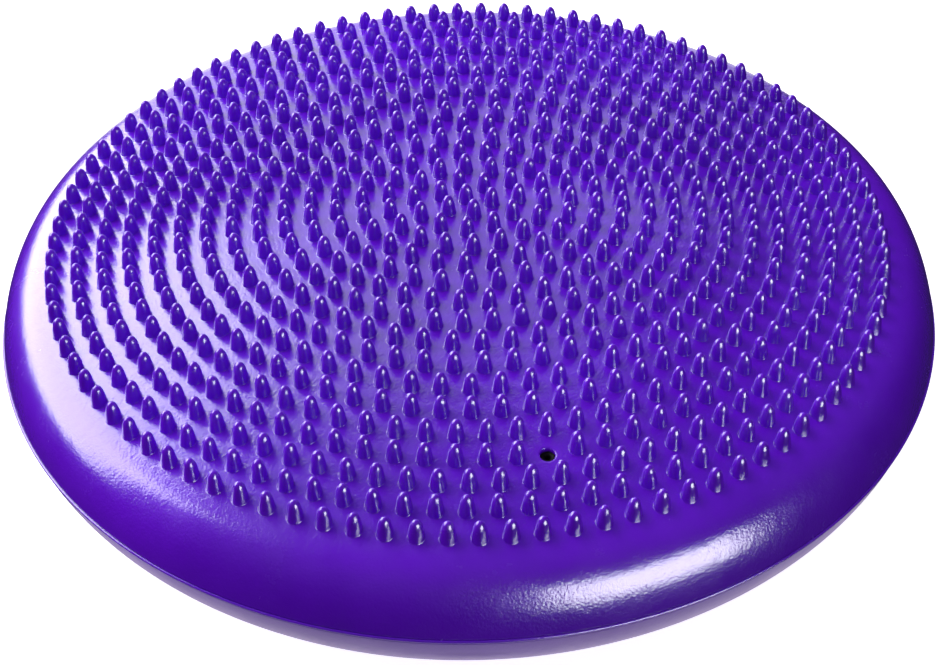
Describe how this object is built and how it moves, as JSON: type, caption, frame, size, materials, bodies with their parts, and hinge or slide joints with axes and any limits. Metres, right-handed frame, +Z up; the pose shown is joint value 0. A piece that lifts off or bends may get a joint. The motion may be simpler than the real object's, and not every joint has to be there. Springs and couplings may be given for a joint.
{
  "type": "balance pad",
  "caption": "Round inflatable balance pad with a spiked upper face, a smooth rounded side and a recessed needle valve.",
  "frame": {"origin": "centre of the flat button at the middle of the underside, on the floor", "axes": "+Z up through the middle of the spiked face, -Y towards the valve side"},
  "size_m": [0.3306, 0.3306, 0.0818],
  "materials": {
    "violet_pvc": "gloss",
    "pale_violet_pvc": "satin",
    "black_rubber": "matte"
  },
  "bodies": {
    "base": {"lower_skin": "pale_violet_pvc"},
    "seam": {"seam_bead": "violet_pvc"},
    "deck": {"upper_skin": "violet_pvc", "valve_seat": "violet_pvc", "valve_core": "black_rubber"}
  },
  "joints": [
    {"name": "tilt_fore_aft", "type": "hinge", "parent": "base", "child": "seam", "pos_m": [0, 0, 0.035], "axis": [1, 0, 0], "range_deg": [-5, 5], "stiffness_Nm_per_rad": 200, "deforming": ["lower_skin"]},
    {"name": "tilt_left_right", "type": "hinge", "parent": "seam", "child": "deck", "pos_m": [0, 0, 0.035], "axis": [0, 1, 0], "range_deg": [-5, 5], "stiffness_Nm_per_rad": 200, "deforming": ["upper_skin"]}
  ]
}
